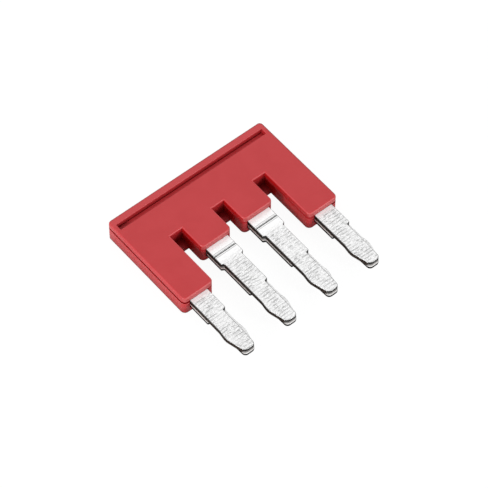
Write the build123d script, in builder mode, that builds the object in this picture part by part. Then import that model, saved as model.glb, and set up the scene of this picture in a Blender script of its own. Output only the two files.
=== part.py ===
"""Four-pole plug-in jumper bar for a row of terminal blocks.

Two identical stamped combs lie back to back, one turned over, so that every pole is a double blade.
A moulded base and cover close round the bar of the combs. The part lies flat on its base.
X runs along the row of poles, -Y points the way the blades plug in, and Z = 0 is the base's underside.
"""

import os
from build123d import *

os.makedirs("parts", exist_ok=True)

# Row of poles
pole_count = 4
pitch = 6.2

# Insulating body, seen from above
leg_width = 4.4
spine_depth = 6.1
outer_leg_length = 8.0
inner_leg_length = 3.7
spine_corner_radius = 0.5
leg_corner_radius = 0.6

# Low web across the inner end of each slot between two legs
slot_web_depth = 1.2
slot_web_height = 0.9

# Insulating body, in section
base_floor = 0.85
cover_thickness = 0.85
cover_rim_radius = 0.25
base_rim_bevel = 0.15
seam_bevel = 0.1

# Groove along the cover's back edge
groove_lip = 0.95
groove_width = 0.85
groove_end_wall = 0.62
groove_rim_radius = 0.1

# Stamped combs
sheet_thickness = 0.65
bar_depth = 2.9
groove_to_bar = 0.65
root_width = 3.24
blade_width = 2.58
blade_reach = 9.15
edge_bevel = 0.05

# Score line across each root, where an unwanted blade is snapped off
score_from_leg = 1.4
score_width = 0.24
score_depth = 0.1

# Shoulder where a root narrows to its blade
shoulder_from_leg = 2.7
shoulder_ramp = 0.2

# Long step on one edge of each blade
step_from_tip = 6.0
step_ramp = 0.12
step_depth = 0.44
step_radius = 0.12

# Swell on the other edge, then the taper of both edges to the tip
swell = 0.12
swell_from_tip = 3.9
swell_ramp = 0.9
swell_radius = 1.5
taper_length = 2.5
plain_tip_half = 0.78
plain_tip_radius = 0.6
stepped_tip_half = 0.77
stepped_tip_radius = 0.5

# Locating pegs, one on the axis of each pole
peg_diameter = 1.1
peg_socket_depth = 0.5
peg_tip_bevel = 0.12

# Clearances
pocket_clearance = 0.06
peg_clearance = 0.06
peg_end_clearance = 0.1

# Overall sizes and levels
stack = 2 * sheet_thickness
seam_height = base_floor + stack
body_height = seam_height + cover_thickness
body_width = (pole_count - 1) * pitch + leg_width
overall_length = spine_depth + outer_leg_length + blade_reach
sheet_joint_height = base_floor + sheet_thickness

# Places along Y, from the back edge to the tips
back_y = overall_length / 2
slot_y = back_y - spine_depth
outer_leg_y = slot_y - outer_leg_length
inner_leg_y = slot_y - inner_leg_length
tip_y = -overall_length / 2
groove_y = back_y - groove_lip - groove_width / 2
bar_back_y = back_y - groove_lip - groove_width - groove_to_bar
bar_y = bar_back_y - bar_depth / 2
score_y = inner_leg_y - score_from_leg
shoulder_y = inner_leg_y - shoulder_from_leg
step_y = tip_y + step_from_tip
swell_y = tip_y + swell_from_tip
taper_y = tip_y + taper_length

pole_xs = [(pole - (pole_count - 1) / 2) * pitch for pole in range(pole_count)]
slot_xs = [pole_x + pitch / 2 for pole_x in pole_xs[:-1]]
leg_lengths = [inner_leg_length] * pole_count
leg_lengths[0] = outer_leg_length
leg_lengths[-1] = outer_leg_length
bar_width = (pole_count - 1) * pitch + root_width
root_channel = bar_y - shoulder_y + shoulder_ramp + pocket_clearance

# Outline shared by the base and the cover: a spine with one leg for each pole
with BuildSketch() as body_outline:
    with Locations((0, back_y - spine_depth / 2)):
        Rectangle(body_width, spine_depth)
    for pole_x, leg_length in zip(pole_xs, leg_lengths):
        with Locations((pole_x, slot_y)):
            Rectangle(leg_width, leg_length, align=(Align.CENTER, Align.MAX))
    fillet(body_outline.vertices().group_by(Axis.Y)[-1], spine_corner_radius)
    leg_corners = body_outline.vertices().filter_by(lambda corner: corner.Y < slot_y - leg_corner_radius)
    fillet(leg_corners, leg_corner_radius)

# One tine on X = 0, from the middle of the bar to its tip
root_half = root_width / 2
blade_half = blade_width / 2
swell_half = blade_half + swell
stepped_half = blade_half - step_depth
tine_corners = [
    ((-root_half, bar_y), 0),
    ((-root_half, shoulder_y), step_radius),
    ((-blade_half, shoulder_y - shoulder_ramp), step_radius),
    ((-blade_half, swell_y), swell_radius),
    ((-swell_half, swell_y - swell_ramp), swell_radius),
    ((-swell_half, taper_y), swell_radius),
    ((-plain_tip_half, tip_y), plain_tip_radius),
    ((stepped_tip_half, tip_y), stepped_tip_radius),
    ((stepped_half, taper_y), swell_radius),
    ((stepped_half, step_y - step_ramp), step_radius),
    ((blade_half, step_y), step_radius),
    ((blade_half, shoulder_y - shoulder_ramp), step_radius),
    ((root_half, shoulder_y), step_radius),
    ((root_half, bar_y), 0),
]
with BuildSketch() as tine_outline:
    with BuildLine():
        FilletPolyline([corner for corner, _ in tine_corners],
                       radius=[radius for _, radius in tine_corners], close=True)
    make_face()

# Whole comb: the bar that joins the poles, a tine for each, and the holes for the pegs
with BuildSketch() as comb_outline:
    with Locations((0, bar_y)):
        Rectangle(bar_width, bar_depth)
    with Locations(*[(pole_x, 0) for pole_x in pole_xs]):
        add(tine_outline.sketch)
    with Locations(*[(pole_x, bar_y) for pole_x in pole_xs]):
        Circle(peg_diameter / 2 + peg_clearance, mode=Mode.SUBTRACT)

# Score line across the roots, as the triangle that the tool leaves in a surface facing up
with BuildSketch(Plane.YZ.offset(-bar_width / 2)) as score_section:
    with BuildLine():
        Polyline(
            (score_y - score_width / 2, seam_height),
            (score_y, seam_height - score_depth),
            (score_y + score_width / 2, seam_height),
            close=True,
        )
    make_face()

# Upper comb, its bevelled edge and score line on top
with BuildPart() as upper_comb:
    with BuildSketch(Plane.XY.offset(sheet_joint_height)):
        add(comb_outline.sketch)
    extrude(amount=sheet_thickness)
    chamfer(upper_comb.faces().sort_by(Axis.Z)[-1].outer_wire().edges(), edge_bevel)
    extrude(score_section.sketch, amount=bar_width, mode=Mode.SUBTRACT)
upper_comb.part.label = "upper_comb"

# Lower comb: the same stamping turned over about the axis between the two sheets
with BuildPart() as lower_comb:
    add(upper_comb.part.rotate(Axis((0, 0, sheet_joint_height), (0, 1, 0)), 180))
lower_comb.part.label = "lower_comb"

# Base: floor, webs in the slots, pocket for both combs, open channels through the legs, and peg sockets
with BuildPart() as base:
    with BuildSketch():
        add(body_outline.sketch)
    extrude(amount=seam_height)
    chamfer(base.faces().sort_by(Axis.Z)[-1].edges(), seam_bevel)
    with BuildSketch():
        with Locations(*[(slot_x, slot_y) for slot_x in slot_xs]):
            Rectangle(pitch - leg_width, slot_web_depth, align=(Align.CENTER, Align.MAX))
    extrude(amount=slot_web_height)
    chamfer(base.faces().sort_by(Axis.Z)[0].edges(), base_rim_bevel)
    with BuildSketch(Plane.XY.offset(base_floor)):
        with Locations((0, bar_y)):
            Rectangle(bar_width + 2 * pocket_clearance, bar_depth + 2 * pocket_clearance)
        with Locations(*[(pole_x, bar_y) for pole_x in pole_xs]):
            Rectangle(root_width + 2 * pocket_clearance, root_channel, align=(Align.CENTER, Align.MAX))
            Rectangle(blade_width + 2 * pocket_clearance, bar_y - tip_y, align=(Align.CENTER, Align.MAX))
    extrude(amount=stack, mode=Mode.SUBTRACT)
    with BuildSketch(Plane.XY.offset(base_floor - peg_socket_depth)):
        with Locations(*[(pole_x, bar_y) for pole_x in pole_xs]):
            Circle(peg_diameter / 2 + peg_clearance)
    extrude(amount=peg_socket_depth, mode=Mode.SUBTRACT)
base.part.label = "base"

# Cover: flat plate with the groove along its back edge and the pegs underneath
with BuildPart() as cover:
    with BuildSketch(Plane.XY.offset(seam_height)):
        add(body_outline.sketch)
    extrude(amount=cover_thickness)
    fillet(cover.faces().sort_by(Axis.Z)[-1].edges(), cover_rim_radius)
    chamfer(cover.faces().sort_by(Axis.Z)[0].edges(), seam_bevel)
    with BuildSketch(Plane.XY.offset(seam_height)):
        with Locations((0, groove_y)):
            Rectangle(body_width - 2 * groove_end_wall, groove_width)
    extrude(amount=cover_thickness, mode=Mode.SUBTRACT)
    groove_rim = cover.faces().sort_by(Axis.Z)[-1].inner_wires()[0].edges()
    fillet(groove_rim, groove_rim_radius)
    with BuildSketch(Plane.XY.offset(seam_height)):
        with Locations(*[(pole_x, bar_y) for pole_x in pole_xs]):
            Circle(peg_diameter / 2)
    extrude(amount=-(stack + peg_socket_depth - peg_end_clearance))
    peg_tips = cover.faces().group_by(Axis.Z)[0].edges()
    chamfer(peg_tips, peg_tip_bevel)
cover.part.label = "cover"

for piece in (base, lower_comb, upper_comb, cover):
    export_step(piece.part, f"parts/{piece.part.label}.step")
    print(piece.part.label, round(piece.part.volume, 2), "mm3")
print("overall", round(body_width, 2), round(overall_length, 2), round(body_height, 2), "mm")
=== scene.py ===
"""Plug-in jumper bar for a row of terminal blocks: finishes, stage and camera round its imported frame."""

import math

import bmesh
import bpy
from bpy.props import FloatProperty, FloatVectorProperty, PointerProperty
from mathutils import Matrix, Vector


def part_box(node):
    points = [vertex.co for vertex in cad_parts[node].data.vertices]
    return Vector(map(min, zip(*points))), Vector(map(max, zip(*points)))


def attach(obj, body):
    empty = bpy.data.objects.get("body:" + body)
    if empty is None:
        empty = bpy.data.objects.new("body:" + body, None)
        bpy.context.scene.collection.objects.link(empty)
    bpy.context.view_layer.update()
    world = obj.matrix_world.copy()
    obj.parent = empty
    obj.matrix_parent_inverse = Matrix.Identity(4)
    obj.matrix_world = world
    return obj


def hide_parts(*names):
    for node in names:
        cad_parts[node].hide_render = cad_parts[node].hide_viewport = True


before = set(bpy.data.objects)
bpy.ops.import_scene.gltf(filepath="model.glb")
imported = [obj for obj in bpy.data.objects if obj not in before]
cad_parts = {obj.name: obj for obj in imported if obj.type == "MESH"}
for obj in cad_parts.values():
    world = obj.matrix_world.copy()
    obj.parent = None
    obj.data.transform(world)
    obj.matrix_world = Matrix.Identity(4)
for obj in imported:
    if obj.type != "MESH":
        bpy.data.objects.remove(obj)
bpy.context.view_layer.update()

bl_info = {
    "name": "Jumper Bar",
    "version": (1, 0, 0),
    "blender": (4, 5, 0),
    "location": "3D View > Sidebar > Jumper Bar",
    "description": "Finishes a plug-in jumper bar and sets it on a plain pale floor",
    "category": "Object",
}

MM = 0.001
BODY = "root"

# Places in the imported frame
SEAM_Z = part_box("base")[1].z
SIDE_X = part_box("base")[1].x
BACK_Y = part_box("base")[1].y
LOWER_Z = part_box("lower_comb")[0].z
JOINT_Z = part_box("lower_comb")[1].z

# A CAD node's loose corners closer than this are merged, and edges flatter than this shade smooth
MERGE_DISTANCE = 0.0005 * MM
SMOOTH_ANGLE = math.radians(24)

# Settings of nodes
SMOOTH = {"interpolation_type": "SMOOTHSTEP"}
COLOUR = {"data_type": "RGBA"}
ADD = {"operation": "ADD"}
SUBTRACT = {"operation": "SUBTRACT"}
MULTIPLY = {"operation": "MULTIPLY"}
MAXIMUM = {"operation": "MAXIMUM"}
ABSOLUTE = {"operation": "ABSOLUTE"}

# Ahead of the score line, where the terminals start to rub the blades and where they rub them fully
RUB_START = 0.6 * MM
RUB_WHOLE = 2.0 * MM

# Half the height over which the rolled edge of a sheared side fades out
BORDER_BLUR = 0.05 * MM

# A wave texture of scale 1 has one band in this length
WAVE_BAND = 2 * math.pi / 20

# Each range runs from where its mask is 0 to where it is whole. These are of one axis of a normal.
STEEPER_THAN_TOP = {"From Min": 0.985, "From Max": 0.9}
FLATTER_THAN_WALL = {"From Min": 0.15, "From Max": 0.5}
FACING_BACK = {"From Min": 0.1, "From Max": 0.5}
FACING_FRONT = {"From Min": -0.3, "From Max": -0.8}
FACING_LEFT = {"From Min": -0.75, "From Max": -0.97}
WALL = {"From Min": 0.95, "From Max": 0.8}
PLATE = {"From Min": 0.35, "From Max": 0.6}
PLATE_RIM = {"From Min": 0.97, "From Max": 0.8}
PLATE_FACE = {"From Min": 0.8, "From Max": 0.97}
SHEARED_END = {"From Min": 0.3, "From Max": 0.6}

# These are places on the moulded shells
NEAR_SIDE = {"From Min": SIDE_X - 3.0 * MM, "From Max": SIDE_X - 1.0 * MM}
NEAR_BACK = {"From Min": BACK_Y - 5.0 * MM, "From Max": BACK_Y - 3.5 * MM}
BEHIND_GROOVE = {"From Min": BACK_Y - 1.4 * MM, "From Max": BACK_Y - 0.9 * MM}
PAST_SLOT_ENDS = {"From Min": 4.5 * MM, "From Max": 3.0 * MM}
DOWN_THE_WALL = {"From Min": 1.9 * MM, "From Max": 0.3 * MM}
AT_THE_FOOT = {"From Min": 0.55 * MM, "From Max": 0.2 * MM}

# These are levels of a noise, a wave or an ambient occlusion
FLOW_LEVELS = {"From Min": 0.35, "From Max": 0.65}
GLOSS_LEVELS = {"From Min": 0.3, "From Max": 0.7}
STREAK_LEVELS = {"From Min": 0.42, "From Max": 0.68}
BREAK_LEVELS = {"From Min": 0.36, "From Max": 0.56}
LINE_LEVELS = {"From Min": 0.5, "From Max": 1.0}
SPOT_LEVELS = {"From Min": 0.5, "From Max": 0.68}
CLOUD_LEVELS = {"From Min": 0.38, "From Max": 0.6}
FIBRE_LEVELS = {"From Min": 0.4, "From Max": 0.6}
NARROW_GAP = {"From Min": 0.8, "From Max": 0.35}
NEAR_AN_EDGE = {"From Min": 0.95, "From Max": 0.6}
NEAR_A_LEG = {"From Min": 0.95, "From Max": 0.65}

# Sine of the height at which the backdrop gives way to the light from above
ABOVE_BACKDROP = {"From Min": 0.08, "From Max": 0.2}


def linear(hex_colour):
    """Linear RGBA of an sRGB colour written as six hex digits."""
    parts = [int(hex_colour[i:i + 2], 16) / 255 for i in (0, 2, 4)]
    return tuple(c / 12.92 if c <= 0.04045 else ((c + 0.055) / 1.055) ** 2.4 for c in parts) + (1.0,)


def add_node(tree, kind, settings=None, inputs=None):
    """Add a shader node, set its properties, and set its inputs or link them to sockets or nodes."""
    node = tree.nodes.new("ShaderNode" + kind)
    for name, value in (settings or {}).items():
        setattr(node, name, value)
    for name, value in (inputs or {}).items():
        if isinstance(value, bpy.types.Node):
            value = next(output for output in value.outputs if output.enabled)
        if isinstance(value, bpy.types.NodeSocket):
            tree.links.new(value, node.inputs[name])
        else:
            node.inputs[name].default_value = value
    return node


def new_material(name):
    """A material with an empty node tree."""
    material = bpy.data.materials.new(name)
    material.use_nodes = True
    material.node_tree.nodes.clear()
    return material, material.node_tree


def line_mask(tree, value, centre, width):
    """1 on a line of the given width at the centre value, and 0 away from it."""
    away = add_node(tree, "Math", SUBTRACT, {0: value, 1: centre})
    away = add_node(tree, "Math", ABSOLUTE, {0: away})
    return add_node(tree, "MapRange", SMOOTH, {"Value": away, "From Min": 0.3 * width,
                                               "From Max": 0.6 * width, "To Min": 1.0, "To Max": 0.0})


def moulded_polyamide(name, settings, shade, pale):
    """Polyamide, injection moulded; its slots get painted shade by shade, and its leg fronts painted light
    by pale.
    """
    # An even matt red with a faint orange peel from the tool's skin. The rounded rims get a painted
    # highlight, the narrow slots and the groove a painted shade of deep red, and the joint of the shells
    # is a thin dark line.
    # The leg fronts get painted light thrown back by the blades, and the walls painted shade towards the
    # foot.
    material, tree = new_material(name)
    coordinates = add_node(tree, "TexCoord")
    place = coordinates.outputs["Object"]
    position = add_node(tree, "SeparateXYZ", inputs={0: place})
    normal = add_node(tree, "SeparateXYZ", inputs={0: coordinates.outputs["Normal"]})
    along = position.outputs["Y"]
    height = position.outputs["Z"]
    upward = normal.outputs["Z"]

    # Flow marks of the melt are a few millimetres long, as on the real part
    flow = add_node(tree, "TexNoise", inputs={"Vector": place, "Scale": 1 / settings.flow_mark_size,
                                              "Detail": 3.0})
    flow = add_node(tree, "MapRange", SMOOTH, {"Value": flow, **FLOW_LEVELS})
    colour = add_node(tree, "Mix", COLOUR, {0: flow, 6: settings.face_colour, 7: settings.flow_colour})

    # Outer part of the body, away from the slots
    aside = add_node(tree, "Math", ABSOLUTE, {0: position.outputs["X"]})
    side = add_node(tree, "MapRange", SMOOTH, {"Value": aside, **NEAR_SIDE})
    back = add_node(tree, "MapRange", SMOOTH, {"Value": along, **NEAR_BACK})
    outside = add_node(tree, "Math", MAXIMUM, {0: side, 1: back})

    # Rims: the faces that slope between a wall and the top, with a painted highlight, and at the outer
    # back a painted shade
    steeper = add_node(tree, "MapRange", SMOOTH, {"Value": upward, **STEEPER_THAN_TOP})
    flatter = add_node(tree, "MapRange", SMOOTH, {"Value": upward, **FLATTER_THAN_WALL})
    rim = add_node(tree, "Math", MULTIPLY, {0: flatter, 1: steeper})
    turn = add_node(tree, "Math", ADD, {0: normal.outputs["X"], 1: normal.outputs["Y"]})
    far = add_node(tree, "MapRange", SMOOTH, {"Value": turn, **FACING_BACK})
    strength = add_node(tree, "MapRange", inputs={"Value": far, "To Min": settings.painted_rim_strength,
                                                  "To Max": settings.far_rim_shade_strength})
    rim = add_node(tree, "Math", MULTIPLY, {0: rim, 1: strength})
    # The lip behind the groove takes the rims' painted highlight
    lip = add_node(tree, "MapRange", SMOOTH, {"Value": along, **BEHIND_GROOVE,
                                              "To Max": settings.lip_highlight_strength})
    rim = add_node(tree, "Math", MAXIMUM, {0: rim, 1: lip})
    shaded_rim = add_node(tree, "Math", MULTIPLY, {0: far, 1: outside})
    tone = add_node(tree, "Mix", COLOUR, {0: shaded_rim, 6: settings.rim_highlight_colour,
                                          7: settings.far_rim_shade_colour})
    colour = add_node(tree, "Mix", COLOUR, {0: rim, 6: colour, 7: tone})

    # Painted light on the fronts of the legs, thrown back onto them by the bright blades below
    ahead = add_node(tree, "MapRange", SMOOTH, {"Value": normal.outputs["Y"], **FACING_FRONT,
                                                "To Max": pale})
    legs = add_node(tree, "MapRange", SMOOTH, {"Value": along, **PAST_SLOT_ENDS})
    front = add_node(tree, "Math", MULTIPLY, {0: ahead, 1: legs})
    colour = add_node(tree, "Mix", COLOUR, {0: front, 6: colour, 7: settings.front_reflection_colour})

    # Painted shade in the slots and the groove, where little light reaches
    openness = add_node(tree, "AmbientOcclusion", {"samples": 12, "only_local": True},
                        {"Distance": settings.shade_reach})
    narrow = add_node(tree, "MapRange", SMOOTH, {"Value": openness.outputs["AO"], **NARROW_GAP})
    depth = add_node(tree, "Math", MULTIPLY, {0: narrow, 1: shade})
    colour = add_node(tree, "Mix", COLOUR, {0: depth, 6: colour, 7: settings.shade_colour})

    # Painted shade: the walls darken towards the foot, and the inner ones less
    slope = add_node(tree, "Math", ABSOLUTE, {0: upward})
    wall = add_node(tree, "MapRange", SMOOTH, {"Value": slope, **WALL})
    outer = add_node(tree, "Math", MAXIMUM, {0: outside, 1: settings.inner_share})
    fade = add_node(tree, "MapRange", SMOOTH, {"Value": height, **DOWN_THE_WALL,
                                               "To Max": settings.fade_shade_strength})
    foot = add_node(tree, "MapRange", SMOOTH, {"Value": height, **AT_THE_FOOT,
                                               "To Max": settings.foot_shade_strength})
    foot = add_node(tree, "Math", MAXIMUM, {0: fade, 1: foot})
    foot = add_node(tree, "Math", MULTIPLY, {0: foot, 1: outer})
    foot = add_node(tree, "Math", MULTIPLY, {0: foot, 1: wall})
    colour = add_node(tree, "Mix", COLOUR, {0: foot, 6: colour, 7: settings.shade_colour})

    # Painted shade: inner walls that face left along the row, sheltered from the light, keep a deeper red
    inner = add_node(tree, "MapRange", inputs={"Value": outside, "To Min": settings.inner_shade_strength,
                                               "To Max": 0.0})
    sheltered = add_node(tree, "MapRange", SMOOTH, {"Value": normal.outputs["X"], **FACING_LEFT})
    inner = add_node(tree, "Math", MULTIPLY, {0: inner, 1: sheltered})
    colour = add_node(tree, "Mix", COLOUR, {0: inner, 6: colour, 7: settings.inner_shade_colour})

    # Seam between the shells, fainter on the open inner walls
    line = line_mask(tree, height, SEAM_Z, settings.seam_width)
    gap = add_node(tree, "Math", MULTIPLY, {0: line, 1: wall})
    outer = add_node(tree, "Math", MAXIMUM, {0: outer, 1: narrow})
    seam = add_node(tree, "Math", MULTIPLY, {0: gap, 1: outer})
    colour = add_node(tree, "Mix", COLOUR, {0: seam, 6: colour, 7: settings.seam_colour})

    # The real skin's orange peel is about 0.05 mm wide, drawn coarser so that it shows
    peel = add_node(tree, "TexNoise", inputs={"Vector": place, "Scale": 1 / settings.peel_size})
    gloss = add_node(tree, "MapRange", SMOOTH, {"Value": peel, **GLOSS_LEVELS,
                                                "To Min": settings.roughness - settings.spread,
                                                "To Max": settings.roughness + settings.spread})
    bump = add_node(tree, "Bump", inputs={"Height": peel, "Strength": settings.peel_strength,
                                          "Distance": settings.peel_depth})

    # No gleam in the slots and the seam
    dull = add_node(tree, "Math", MAXIMUM, {0: gap, 1: narrow})
    gloss = add_node(tree, "Math", MAXIMUM, {0: gloss, 1: dull})
    gleam = add_node(tree, "MapRange", inputs={"Value": dull, "To Min": settings.gleam,
                                               "To Max": settings.slot_gleam})

    shader = add_node(tree, "BsdfPrincipled", inputs={
        "Base Color": colour, "Roughness": gloss, "IOR": settings.ior, "Normal": bump,
        "Specular IOR Level": gleam})
    add_node(tree, "OutputMaterial", inputs={"Surface": shader})
    return material


def tinned_copper(name, settings, cut, end, border, border_top):
    """Copper sheet, tin plated and stamped; cut, end and border are the colours of its sheared sides."""
    # Near-white faces with a fine grey grain across the blade, and sheared sides in painted light and
    # shade:
    # cut along the blade, end where they face the tips, border below border_top.
    material, tree = new_material(name)
    coordinates = add_node(tree, "TexCoord")
    place = coordinates.outputs["Object"]
    position = add_node(tree, "SeparateXYZ", inputs={0: place})
    normal = add_node(tree, "SeparateXYZ", inputs={0: coordinates.outputs["Normal"]})
    along = position.outputs["Y"]
    height = position.outputs["Z"]

    # Rolling marks across the blade are 0.02 mm wide on real strip, drawn coarser so that they show
    across = add_node(tree, "Mapping", inputs={"Vector": place,
                                               "Scale": (1 / settings.grain_ratio, 1.0, 1.0)})
    grain = add_node(tree, "TexNoise", inputs={"Vector": across, "Scale": 1 / settings.grain_spacing,
                                               "Detail": 0.0})
    ruled = add_node(tree, "TexWave", {"bands_direction": "Y"},
                     {"Vector": place, "Scale": WAVE_BAND / settings.line_spacing,
                      "Distortion": settings.line_waver, "Detail": 1.0, "Detail Scale": 0.6})
    streak = add_node(tree, "MapRange", SMOOTH, {"Value": grain, **STREAK_LEVELS,
                                                 "To Max": settings.streak_strength})
    broken = add_node(tree, "MapRange", SMOOTH, {"Value": grain, **BREAK_LEVELS})
    mark = add_node(tree, "MapRange", SMOOTH, {"Value": ruled.outputs["Fac"], **LINE_LEVELS,
                                               "To Max": settings.line_strength})
    mark = add_node(tree, "Math", MULTIPLY, {0: mark, 1: broken})
    mark = add_node(tree, "Math", MAXIMUM, {0: mark, 1: streak})

    # Crystals of the real tin are about 0.05 mm across, drawn as larger spots, denser in patches
    mottle = add_node(tree, "TexNoise", inputs={"Vector": place, "Scale": 1 / settings.mottle_size,
                                                "Detail": 1.0})
    spot = add_node(tree, "MapRange", SMOOTH, {"Value": mottle, **SPOT_LEVELS,
                                               "To Max": settings.spot_strength})
    mark = add_node(tree, "Math", MAXIMUM, {0: mark, 1: spot})
    cloud = add_node(tree, "TexNoise", inputs={"Vector": place, "Scale": 1 / settings.cloud_size})
    patch = add_node(tree, "MapRange", SMOOTH, {"Value": cloud, **CLOUD_LEVELS,
                                                "To Min": settings.clear_share})
    mark = add_node(tree, "Math", MULTIPLY, {0: mark, 1: patch})

    # Roots behind the score line are nearly free of marks
    used = add_node(tree, "MapRange", SMOOTH, {"Value": along, "From Min": settings.score_y - RUB_START,
                                               "From Max": settings.score_y - RUB_WHOLE,
                                               "To Min": settings.root_share})
    mark = add_node(tree, "Math", MULTIPLY, {0: mark, 1: used})
    light = add_node(tree, "Mix", COLOUR, {0: used, 6: settings.root_light, 7: settings.plate_light})
    plate = add_node(tree, "Mix", COLOUR, {0: mark, 6: light, 7: settings.plate_dark})

    # Rolled rim of the faces, with a painted dark line for the shade that it catches
    inside = add_node(tree, "AmbientOcclusion", {"samples": 8, "inside": True, "only_local": True},
                      {"Distance": settings.rim_width})
    edge_shade = add_node(tree, "MapRange", SMOOTH, {"Value": inside.outputs["AO"], **NEAR_AN_EDGE,
                                                     "To Max": settings.painted_rim_strength})
    plate = add_node(tree, "Mix", COLOUR, {0: edge_shade, 6: plate, 7: settings.bevel_shade_colour})

    # Faint burr that the scoring tool raised on each side of its line
    aside = add_node(tree, "Math", SUBTRACT, {0: along, 1: settings.score_y})
    aside = add_node(tree, "Math", ABSOLUTE, {0: aside})
    burr = line_mask(tree, aside, settings.burr_distance, settings.burr_width)
    plate = add_node(tree, "Mix", COLOUR, {0: burr, 6: plate, 7: settings.burr_colour})

    # Sheared sides in painted light and shade: the ends that face the tips lighter than the sides, the
    # upper comb's ends darker upward, and a dark border below border_top
    facing = add_node(tree, "Math", ABSOLUTE, {0: normal.outputs["Y"]})
    ends = add_node(tree, "MapRange", SMOOTH, {"Value": facing, **SHEARED_END})
    brow = add_node(tree, "MapRange", SMOOTH, {"Value": height, "From Min": JOINT_Z,
                                               "From Max": JOINT_Z + settings.brow_shade_height})
    end = add_node(tree, "Mix", COLOUR, {0: brow, 6: end, 7: settings.rolled_edge_shade})
    side = add_node(tree, "Mix", COLOUR, {0: ends, 6: cut, 7: end})
    rolled = add_node(tree, "MapRange", SMOOTH, {"Value": height, "From Min": border_top + BORDER_BLUR,
                                                 "From Max": border_top - BORDER_BLUR})
    side = add_node(tree, "Mix", COLOUR, {0: rolled, 6: side, 7: border})
    slope = add_node(tree, "Math", ABSOLUTE, {0: normal.outputs["Z"]})
    # Painted shade on the steep faces of the plate's rims and of the score line
    bevel = add_node(tree, "MapRange", SMOOTH, {"Value": slope, **PLATE_RIM})
    plate = add_node(tree, "Mix", COLOUR, {0: bevel, 6: plate, 7: settings.bevel_shade_colour})
    flat = add_node(tree, "MapRange", SMOOTH, {"Value": slope, **PLATE})
    colour = add_node(tree, "Mix", COLOUR, {0: flat, 6: side, 7: plate})

    # Close to the legs the plates turn matt and mirror no red, and a painted lighter tone lifts the legs'
    # shade
    level = add_node(tree, "MapRange", SMOOTH, {"Value": slope, **PLATE_FACE,
                                                "To Max": settings.matt_strength})
    clear = add_node(tree, "AmbientOcclusion", {"samples": 12}, {"Distance": settings.matt_reach})
    matt = add_node(tree, "MapRange", SMOOTH, {"Value": clear.outputs["AO"], **NEAR_A_LEG,
                                               "To Max": level})
    shine = add_node(tree, "Math", SUBTRACT, {0: 1.0, 1: matt})
    colour = add_node(tree, "Mix", COLOUR, {0: matt, 6: colour, 7: settings.lit_matt_colour})

    gloss = add_node(tree, "MapRange", SMOOTH, {"Value": mottle, **GLOSS_LEVELS,
                                                "To Min": settings.roughness - settings.spread,
                                                "To Max": settings.roughness + settings.spread})
    bump = add_node(tree, "Bump", inputs={"Height": mark, "Strength": settings.mark_strength,
                                          "Distance": settings.mark_depth})
    shader = add_node(tree, "BsdfPrincipled", inputs={
        "Base Color": colour, "Metallic": shine, "Roughness": gloss, "Normal": bump,
        "Specular Tint": settings.specular_tint})
    add_node(tree, "OutputMaterial", inputs={"Surface": shader})
    return material


def floor_paper(name, settings, glow, tone):
    """Matt paper; glow is how far light comes through it, and tone its colour."""
    # Plain and pale, with a hint of fibres about half a millimetre long
    material, tree = new_material(name)
    place = add_node(tree, "TexCoord").outputs["Object"]
    fibre = add_node(tree, "TexNoise", inputs={"Vector": place, "Scale": 1 / settings.fibre_size})
    fibre = add_node(tree, "MapRange", SMOOTH, {"Value": fibre, **FIBRE_LEVELS})
    darker = [(1 - settings.fibre_strength) * part for part in tone[:3]] + [1.0]
    colour = add_node(tree, "Mix", COLOUR, {0: fibre, 6: darker, 7: tone})
    shader = add_node(tree, "BsdfPrincipled", inputs={
        "Base Color": colour, "Roughness": 0.9, "Specular IOR Level": 0.0,
        "Emission Color": linear("FFFFFF"), "Emission Strength": glow})
    add_node(tree, "OutputMaterial", inputs={"Surface": shader})
    return material


def paper_sheet(name, size, height, material):
    """Square sheet that lies under the part and isn't part of it."""
    half = size / 2
    mesh = bpy.data.meshes.new(name)
    square = [(-half, -half), (half, -half), (half, half), (-half, half)]
    mesh.from_pydata([(x, y, height) for x, y in square], [], [(0, 1, 2, 3)])
    mesh.materials.append(material)
    sheet = bpy.data.objects.new(name, mesh)
    bpy.context.scene.collection.objects.link(sheet)
    return sheet


def finished_piece(name, node, material):
    """Copy a CAD node with its loose triangles merged and its curved faces shaded smooth."""
    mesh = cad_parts[node].data.copy()
    mesh.name = name
    mesh.materials.clear()
    if mesh.has_custom_normals:
        mesh.attributes.remove(mesh.attributes["custom_normal"])
    shape = bmesh.new()
    shape.from_mesh(mesh)
    bmesh.ops.remove_doubles(shape, verts=shape.verts, dist=MERGE_DISTANCE)
    for face in shape.faces:
        face.smooth = True
    for edge in shape.edges:
        edge.smooth = len(edge.link_faces) == 2 and edge.calc_face_angle() < SMOOTH_ANGLE
    shape.to_mesh(mesh)
    shape.free()
    mesh.materials.append(material)
    piece = bpy.data.objects.new(name, mesh)
    bpy.context.scene.collection.objects.link(piece)
    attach(piece, BODY)
    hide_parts(node)


def outward(azimuth, elevation):
    """Direction from the object, by a turn about it from the front and a height over the floor."""
    reach = math.cos(elevation)
    return Vector((math.sin(azimuth) * reach, -math.cos(azimuth) * reach, math.sin(elevation)))


def soft_light(name, direction, distance, size, power):
    """Square soft light that looks at the origin from a direction."""
    lamp = bpy.data.lights.new(name, "AREA")
    lamp.shape = "SQUARE"
    lamp.size = size
    lamp.energy = power
    light = bpy.data.objects.new(name, lamp)
    light.location = distance * direction
    light.rotation_euler = (-light.location).to_track_quat("-Z", "Y").to_euler()
    light.visible_camera = False
    bpy.context.scene.collection.objects.link(light)


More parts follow.
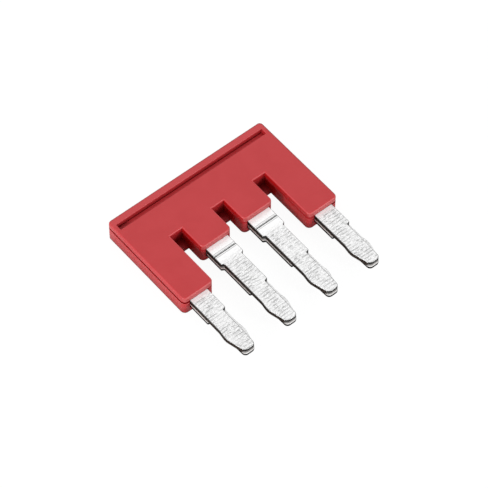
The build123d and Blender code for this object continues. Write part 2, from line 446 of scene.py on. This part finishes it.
class JumperPlasticSettings(bpy.types.PropertyGroup):
    """Finish of the moulded shells."""

    face_colour: FloatVectorProperty(
        name="Face colour", description="Colour of the flat faces",
        default=linear("B32227"), subtype="COLOR", size=4, min=0.0, max=1.0)
    flow_colour: FloatVectorProperty(
        name="Flow colour", description="Colour of the faint flow marks",
        default=linear("B6262B"), subtype="COLOR", size=4, min=0.0, max=1.0)
    flow_mark_size: FloatProperty(
        name="Flow mark size", description="Size of the flow marks",
        default=3.0 * MM, min=0.5 * MM, unit="LENGTH", precision=5)
    # Painted highlight on the rounded rims and the lip, and painted shade on the rims at the back
    rim_highlight_colour: FloatVectorProperty(
        name="Rim colour", description="Colour of the rounded rims",
        default=linear("E0666B"), subtype="COLOR", size=4, min=0.0, max=1.0)
    far_rim_shade_colour: FloatVectorProperty(
        name="Far rim colour", description="Colour of the rims at the back",
        default=linear("500A0C"), subtype="COLOR", size=4, min=0.0, max=1.0)
    painted_rim_strength: FloatProperty(
        name="Rim strength", description="How far the rims turn pale",
        default=0.2, min=0.0, max=1.0, subtype="FACTOR")
    far_rim_shade_strength: FloatProperty(
        name="Far rim strength", description="How far the rims at the back darken",
        default=0.55, min=0.0, max=1.0, subtype="FACTOR")
    lip_highlight_strength: FloatProperty(
        name="Lip strength", description="How far the lip behind the groove turns pale",
        default=0.12, min=0.0, max=1.0, subtype="FACTOR")
    # Painted light that the bright blades throw back onto the leg fronts
    front_reflection_colour: FloatVectorProperty(
        name="Front colour", description="Colour of the rubbed leg fronts",
        default=linear("C05A5A"), subtype="COLOR", size=4, min=0.0, max=1.0)
    front_reflection_strength: FloatProperty(
        name="Front strength", description="How far the leg fronts turn pale",
        default=0.6, min=0.0, max=1.0, subtype="FACTOR")
    shade_colour: FloatVectorProperty(
        name="Shade colour", description="Colour deep in the slots and at the foot",
        default=linear("5C0000"), subtype="COLOR", size=4, min=0.0, max=1.0)
    shade_reach: FloatProperty(
        name="Shade reach", description="Width of a gap that darkens",
        default=2.5 * MM, min=0.1 * MM, unit="LENGTH", precision=5)
    base_shade: FloatProperty(
        name="Base shade", description="How far the base darkens in the slots",
        default=0.8, min=0.0, max=1.0, subtype="FACTOR")
    cover_shade: FloatProperty(
        name="Cover shade", description="How far the cover darkens in the slots",
        default=0.1, min=0.0, max=1.0, subtype="FACTOR")
    # Painted shade down the walls and at the foot
    fade_shade_strength: FloatProperty(
        name="Fade strength", description="How far the walls darken downward",
        default=0.32, min=0.0, max=1.0, subtype="FACTOR")
    foot_shade_strength: FloatProperty(
        name="Foot strength", description="How far the base darkens at its foot",
        default=0.75, min=0.0, max=1.0, subtype="FACTOR")
    inner_share: FloatProperty(
        name="Inner share", description="Share of the fade and of the seam that inner walls have",
        default=0.45, min=0.0, max=1.0, subtype="FACTOR")
    # Painted shade on the inner walls that face left
    inner_shade_colour: FloatVectorProperty(
        name="Inner colour", description="Colour of the inner walls that face left",
        default=linear("A80000"), subtype="COLOR", size=4, min=0.0, max=1.0)
    inner_shade_strength: FloatProperty(
        name="Inner strength", description="How far the inner walls that face left turn to that colour",
        default=0.8, min=0.0, max=1.0, subtype="FACTOR")
    seam_colour: FloatVectorProperty(
        name="Seam colour", description="Colour of the seam line",
        default=linear("700002"), subtype="COLOR", size=4, min=0.0, max=1.0)
    seam_width: FloatProperty(
        name="Seam width", description="Width of the dark line at the seam",
        default=0.35 * MM, min=0.0, unit="LENGTH", precision=5)
    peel_size: FloatProperty(
        name="Peel size", description="Size of the orange peel",
        default=0.15 * MM, min=0.02 * MM, unit="LENGTH", precision=5)
    peel_depth: FloatProperty(
        name="Peel depth", description="Depth of the orange peel",
        default=0.01 * MM, min=0.0, unit="LENGTH", precision=6)
    peel_strength: FloatProperty(
        name="Peel strength", description="How clearly the orange peel shows",
        default=0.25, min=0.0, max=1.0, subtype="FACTOR")
    roughness: FloatProperty(
        name="Roughness", description="Roughness of the moulded skin",
        default=0.42, min=0.0, max=1.0, subtype="FACTOR")
    spread: FloatProperty(
        name="Roughness spread", description="How far the roughness strays either way",
        default=0.04, min=0.0, max=0.2, subtype="FACTOR")
    ior: FloatProperty(
        name="IOR", description="Index of refraction of polyamide",
        default=1.53, min=1.0, max=2.0)
    gleam: FloatProperty(
        name="Gleam", description="Specular level of the open faces",
        default=0.45, min=0.0, max=1.0, subtype="FACTOR")
    slot_gleam: FloatProperty(
        name="Slot gleam", description="Specular level in the slots and the seam",
        default=0.05, min=0.0, max=1.0, subtype="FACTOR")


class JumperMetalSettings(bpy.types.PropertyGroup):
    """Finish of the stamped combs."""

    plate_light: FloatVectorProperty(
        name="Plate light", description="Colour of bright tin",
        default=linear("E7E7E7"), subtype="COLOR", size=4, min=0.0, max=1.0)
    plate_dark: FloatVectorProperty(
        name="Plate dark", description="Colour of the marks in the tin",
        default=linear("888888"), subtype="COLOR", size=4, min=0.0, max=1.0)
    grain_spacing: FloatProperty(
        name="Grain spacing", description="Distance between the grain lines",
        default=0.18 * MM, min=0.02 * MM, unit="LENGTH", precision=5)
    grain_ratio: FloatProperty(
        name="Grain ratio", description="Length of a grain line in spacings",
        default=3.0, min=1.0)
    streak_strength: FloatProperty(
        name="Streak strength", description="How dark the grain lines are",
        default=0.35, min=0.0, max=1.0, subtype="FACTOR")
    line_spacing: FloatProperty(
        name="Line spacing", description="Distance between the clearest rolling marks",
        default=0.42 * MM, min=0.02 * MM, unit="LENGTH", precision=5)
    line_waver: FloatProperty(
        name="Line waver", description="How far the rolling marks stray from straight",
        default=2.5, min=0.0)
    line_strength: FloatProperty(
        name="Line strength", description="How dark the clearest rolling marks are",
        default=0.8, min=0.0, max=1.0, subtype="FACTOR")
    mottle_size: FloatProperty(
        name="Mottle size", description="Size of the dull spots",
        default=0.12 * MM, min=0.05 * MM, unit="LENGTH", precision=5)
    spot_strength: FloatProperty(
        name="Spot strength", description="How dark the dull spots are",
        default=0.75, min=0.0, max=1.0, subtype="FACTOR")
    cloud_size: FloatProperty(
        name="Cloud size", description="Size of the duller patches",
        default=1.5 * MM, min=0.2 * MM, unit="LENGTH", precision=5)
    clear_share: FloatProperty(
        name="Clear share", description="Share of the marks left between the duller patches",
        default=0.5, min=0.0, max=1.0, subtype="FACTOR")
    mark_depth: FloatProperty(
        name="Mark depth", description="Depth of the marks in the tin",
        default=0.01 * MM, min=0.0, unit="LENGTH", precision=6)
    mark_strength: FloatProperty(
        name="Mark strength", description="How clearly the depth of the marks shows",
        default=0.3, min=0.0, max=1.0, subtype="FACTOR")
    root_light: FloatVectorProperty(
        name="Root light", description="Colour of the unused tin at the roots",
        default=linear("ECECEC"), subtype="COLOR", size=4, min=0.0, max=1.0)
    root_share: FloatProperty(
        name="Root share", description="Share of the marks that the roots have",
        default=0.1, min=0.0, max=1.0, subtype="FACTOR")
    # Painted shade on the rolled rims and the steep faces of the plates
    bevel_shade_colour: FloatVectorProperty(
        name="Bevel colour", description="Colour of the rolled rim of the faces",
        default=linear("767676"), subtype="COLOR", size=4, min=0.0, max=1.0)
    rim_width: FloatProperty(
        name="Rim width", description="Width of the rolled rim of the faces",
        default=0.12 * MM, min=0.01 * MM, unit="LENGTH", precision=5)
    painted_rim_strength: FloatProperty(
        name="Rim strength", description="How clearly the rolled rim shows",
        default=0.35, min=0.0, max=1.0, subtype="FACTOR")
    score_y: FloatProperty(
        name="Score place", description="Place of the score line along the blade",
        default=0.425 * MM, unit="LENGTH", precision=6)
    burr_colour: FloatVectorProperty(
        name="Burr colour", description="Colour of the burr beside the score line",
        default=linear("BEBEBE"), subtype="COLOR", size=4, min=0.0, max=1.0)
    burr_distance: FloatProperty(
        name="Burr distance", description="Distance of the burr from the score line",
        default=0.28 * MM, unit="LENGTH", precision=5)
    burr_width: FloatProperty(
        name="Burr width", description="Width of the burr",
        default=0.12 * MM, min=0.0, unit="LENGTH", precision=5)
    # Painted light and shade of the sheared sides: shaded upper sides, lit ends, a dark rolled edge
    upper_side_shade: FloatVectorProperty(
        name="Upper cut", description="Colour of the upper comb's sheared side",
        default=linear("4C433E"), subtype="COLOR", size=4, min=0.0, max=1.0)
    upper_end: FloatVectorProperty(
        name="Upper end", description="Colour of the upper comb's sheared ends",
        default=linear("AEACAA"), subtype="COLOR", size=4, min=0.0, max=1.0)
    lower_cut: FloatVectorProperty(
        name="Lower cut", description="Colour of the lower comb's sheared side",
        default=linear("FAF4F0"), subtype="COLOR", size=4, min=0.0, max=1.0)
    lower_end: FloatVectorProperty(
        name="Lower end", description="Colour of the lower comb's sheared ends",
        default=linear("FAF8F6"), subtype="COLOR", size=4, min=0.0, max=1.0)
    rolled_edge_shade: FloatVectorProperty(
        name="Rolled edge", description="Colour of the edges that the stamping rolled over",
        default=linear("080606"), subtype="COLOR", size=4, min=0.0, max=1.0)
    rolled_width: FloatProperty(
        name="Rolled width", description="Height of the lower comb's rolled edge",
        default=0.35 * MM, min=0.0, unit="LENGTH", precision=5)
    brow_shade_height: FloatProperty(
        name="Brow height", description="Height over which the upper comb's ends darken upward",
        default=0.55 * MM, min=0.01 * MM, unit="LENGTH", precision=5)
    # Painted lighter tone of the tin by the legs
    lit_matt_colour: FloatVectorProperty(
        name="Matt colour", description="Colour of the matt tin by the legs",
        default=linear("F8F8F8"), subtype="COLOR", size=4, min=0.0, max=1.0)
    matt_strength: FloatProperty(
        name="Matt strength", description="How far the tin by the legs turns matt",
        default=0.95, min=0.0, max=1.0, subtype="FACTOR")
    matt_reach: FloatProperty(
        name="Matt reach", description="How far from the legs the tin is matt",
        default=0.8 * MM, min=0.1 * MM, unit="LENGTH", precision=5)
    roughness: FloatProperty(
        name="Roughness", description="Roughness of the tin plate",
        default=0.38, min=0.0, max=1.0, subtype="FACTOR")
    spread: FloatProperty(
        name="Roughness spread", description="How far the roughness strays either way",
        default=0.06, min=0.0, max=0.2, subtype="FACTOR")
    specular_tint: FloatVectorProperty(
        name="Specular tint", description="Colour of what tin mirrors at a flat angle",
        default=linear("B3B3B3"), subtype="COLOR", size=4, min=0.0, max=1.0)


class JumperStageSettings(bpy.types.PropertyGroup):
    """Floor, light and camera."""

    floor_size: FloatProperty(
        name="Floor size", description="Side of the floor",
        default=3.0, unit="LENGTH")
    floor_drop: FloatProperty(
        name="Floor drop", description="How far the shown sheet lies under the part",
        default=0.01 * MM, min=0.0, unit="LENGTH", precision=6)
    floor_glow: FloatProperty(
        name="Floor glow", description="Strength of the light through the sheet",
        default=0.93, min=0.0)
    floor_tone: FloatVectorProperty(
        name="Floor tone", description="Colour of the shown sheet itself",
        default=linear("555555"), subtype="COLOR", size=4, min=0.0, max=1.0)
    bounce_drop: FloatProperty(
        name="Bounce drop", description="How far the sheet that lights the part lies under it",
        default=0.05 * MM, min=0.0, unit="LENGTH", precision=6)
    bounce_tone: FloatVectorProperty(
        name="Bounce tone", description="Colour of the sheet that lights the part's sides",
        default=linear("F1F1F1"), subtype="COLOR", size=4, min=0.0, max=1.0)
    fibre_size: FloatProperty(
        name="Fibre size", description="Size of the paper's fibres",
        default=0.6 * MM, min=0.1 * MM, unit="LENGTH", precision=5)
    fibre_strength: FloatProperty(
        name="Fibre strength", description="How much darker the fibres are",
        default=0.02, min=0.0, max=1.0, subtype="FACTOR")
    sky: FloatProperty(
        name="Sky", description="Strength of the even light from above",
        default=0.64, min=0.0)
    backdrop: FloatProperty(
        name="Backdrop", description="Strength of the backdrop all round",
        default=1.0, min=0.0)
    key: FloatProperty(
        name="Key", description="Power of the low light on the left",
        default=0.88, unit="POWER")
    key_azimuth: FloatProperty(
        name="Key azimuth", description="Turn of the key light about the object",
        default=math.radians(-84), subtype="ANGLE")
    key_elevation: FloatProperty(
        name="Key elevation", description="Height of the key light over the floor",
        default=math.radians(26), subtype="ANGLE")
    key_distance: FloatProperty(
        name="Key distance", description="Distance of the key light from the object",
        default=0.4, unit="LENGTH")
    key_size: FloatProperty(
        name="Key size", description="Side of the key light",
        default=0.09, unit="LENGTH")
    front: FloatProperty(
        name="Front", description="Power of the small light in front",
        default=0.26, unit="POWER")
    front_azimuth: FloatProperty(
        name="Front azimuth", description="Turn of the front light about the object",
        default=math.radians(24), subtype="ANGLE")
    front_elevation: FloatProperty(
        name="Front elevation", description="Height of the front light over the floor",
        default=math.radians(26), subtype="ANGLE")
    front_distance: FloatProperty(
        name="Front distance", description="Distance of the front light from the object",
        default=0.3, unit="LENGTH")
    front_size: FloatProperty(
        name="Front size", description="Side of the front light",
        default=0.06, unit="LENGTH")
    top: FloatProperty(
        name="Top", description="Power of the light that the blades mirror",
        default=0.14, unit="POWER")
    top_azimuth: FloatProperty(
        name="Top azimuth", description="Turn of the top light about the object",
        default=math.radians(140), subtype="ANGLE")
    top_elevation: FloatProperty(
        name="Top elevation", description="Height of the top light over the floor",
        default=math.radians(57), subtype="ANGLE")
    top_distance: FloatProperty(
        name="Top distance", description="Distance of the top light from the object",
        default=0.3, unit="LENGTH")
    top_size: FloatProperty(
        name="Top size", description="Side of the top light",
        default=0.24, unit="LENGTH")
    azimuth: FloatProperty(
        name="Azimuth", description="Camera's turn about the object",
        default=math.radians(-39.96), subtype="ANGLE")
    elevation: FloatProperty(
        name="Elevation", description="Camera's height over the floor",
        default=math.radians(55.42), subtype="ANGLE")
    roll: FloatProperty(
        name="Roll", description="Camera's turn about its own axis",
        default=math.radians(0.43), subtype="ANGLE")
    distance: FloatProperty(
        name="Distance", description="Camera to the point it looks at",
        default=0.3369, unit="LENGTH")
    focal: FloatProperty(
        name="Focal length", description="Focal length for the sensor's width",
        default=214.2, unit="CAMERA")
    sensor: FloatProperty(
        name="Sensor", description="Width of the sensor",
        default=36.0, unit="CAMERA")
    target: FloatVectorProperty(
        name="Target", description="Point that the camera looks at",
        default=(0.08 * MM, 0.815 * MM, 0.0), subtype="TRANSLATION", size=3)


class JUMPER_OT_moulded_shells(bpy.types.Operator):
    """Finish the moulded base and cover"""

    bl_idname = "jumper.moulded_shells"
    bl_label = "Moulded Shells"

    def execute(self, context):
        settings = context.scene.jumper_plastic
        shells = (
            ("base", settings.base_shade, 0.0),
            ("cover", settings.cover_shade, settings.front_reflection_strength),
        )
        for node, shade, pale in shells:
            material = moulded_polyamide("moulded_polyamide_" + node, settings, shade, pale)
            finished_piece(node + "_shell", node, material)
        return {"FINISHED"}


class JUMPER_OT_contact_combs(bpy.types.Operator):
    """Finish the two stamped combs"""

    bl_idname = "jumper.contact_combs"
    bl_label = "Contact Combs"

    def execute(self, context):
        settings = context.scene.jumper_metal
        # The upper comb's sides take painted shade, the lower comb's a dark rolled border of painted shade
        upper = tinned_copper("tinned_copper_upper", settings, settings.upper_side_shade, settings.upper_end,
                              settings.upper_side_shade, JOINT_Z)
        lower = tinned_copper("tinned_copper_lower", settings, settings.lower_cut, settings.lower_end,
                              settings.rolled_edge_shade, LOWER_Z + settings.rolled_width)
        finished_piece("upper_contact_comb", "upper_comb", upper)
        finished_piece("lower_contact_comb", "lower_comb", lower)
        return {"FINISHED"}


class JUMPER_OT_stage(bpy.types.Operator):
    """Lay the floor and set the light and the camera"""

    bl_idname = "jumper.stage"
    bl_label = "Stage"

    def execute(self, context):
        settings = context.scene.jumper_stage
        scene = context.scene

        # The camera sees a sheet lit from behind, and the part's surfaces a plain one just under it
        shown = paper_sheet("floor", settings.floor_size, -settings.floor_drop,
                            floor_paper("lit_paper", settings, settings.floor_glow, settings.floor_tone))
        shown.visible_diffuse = False
        shown.visible_glossy = False
        shown.visible_shadow = False
        under = paper_sheet("floor_bounce", settings.floor_size, -settings.bounce_drop,
                            floor_paper("plain_paper", settings, 0.0, settings.bounce_tone))
        under.visible_camera = False

        world = bpy.data.worlds.new("studio")
        world.use_nodes = True
        tree = world.node_tree
        direction = add_node(tree, "TexCoord").outputs["Generated"]
        height = add_node(tree, "SeparateXYZ", inputs={0: direction}).outputs["Z"]
        dome = add_node(tree, "MapRange", SMOOTH, {"Value": height, **ABOVE_BACKDROP,
                                                   "To Min": settings.backdrop, "To Max": settings.sky})
        background = tree.nodes["Background"]
        background.inputs["Color"].default_value = linear("FFFFFF")
        tree.links.new(dome.outputs[0], background.inputs["Strength"])
        scene.world = world
        scene.view_settings.view_transform = "Standard"

        soft_light("key", outward(settings.key_azimuth, settings.key_elevation),
                   settings.key_distance, settings.key_size, settings.key)
        soft_light("front", outward(settings.front_azimuth, settings.front_elevation),
                   settings.front_distance, settings.front_size, settings.front)
        soft_light("top", outward(settings.top_azimuth, settings.top_elevation),
                   settings.top_distance, settings.top_size, settings.top)

        back = outward(settings.azimuth, settings.elevation)
        level = Vector((math.cos(settings.azimuth), math.sin(settings.azimuth), 0))
        upright = back.cross(level)
        right = math.cos(settings.roll) * level + math.sin(settings.roll) * upright
        up = math.cos(settings.roll) * upright - math.sin(settings.roll) * level
        lens = bpy.data.cameras.new("camera")
        lens.sensor_width = settings.sensor
        lens.lens = settings.focal
        lens.clip_start = 10 * MM
        camera = bpy.data.objects.new("camera", lens)
        turn = Matrix((right, up, back)).transposed().to_4x4()
        place = Matrix.Translation(Vector(settings.target) + settings.distance * back)
        camera.matrix_world = place @ turn
        scene.collection.objects.link(camera)
        scene.camera = camera
        return {"FINISHED"}


class JUMPER_PT_panel(bpy.types.Panel):
    """Sizes and colours of the jumper bar, with a button for each step"""

    bl_idname = "JUMPER_PT_panel"
    bl_label = "Jumper Bar"
    bl_space_type = "VIEW_3D"
    bl_region_type = "UI"
    bl_category = "Jumper Bar"

    def draw(self, context):
        scene = context.scene
        steps = (
            (scene.jumper_plastic, "jumper.moulded_shells"),
            (scene.jumper_metal, "jumper.contact_combs"),
            (scene.jumper_stage, "jumper.stage"),
        )
        for settings, operator in steps:
            box = self.layout.box()
            for name in settings.__annotations__:
                box.prop(settings, name)
            box.operator(operator)


CLASSES = (
    JumperPlasticSettings,
    JumperMetalSettings,
    JumperStageSettings,
    JUMPER_OT_moulded_shells,
    JUMPER_OT_contact_combs,
    JUMPER_OT_stage,
    JUMPER_PT_panel,
)


def register():
    for cls in CLASSES:
        bpy.utils.register_class(cls)
    bpy.types.Scene.jumper_plastic = PointerProperty(type=JumperPlasticSettings)
    bpy.types.Scene.jumper_metal = PointerProperty(type=JumperMetalSettings)
    bpy.types.Scene.jumper_stage = PointerProperty(type=JumperStageSettings)


def unregister():
    del bpy.types.Scene.jumper_stage
    del bpy.types.Scene.jumper_metal
    del bpy.types.Scene.jumper_plastic
    for cls in reversed(CLASSES):
        bpy.utils.unregister_class(cls)


def main():
    register()
    bpy.ops.jumper.moulded_shells()
    bpy.ops.jumper.contact_combs()
    bpy.ops.jumper.stage()


if __name__ == "__main__":
    main()
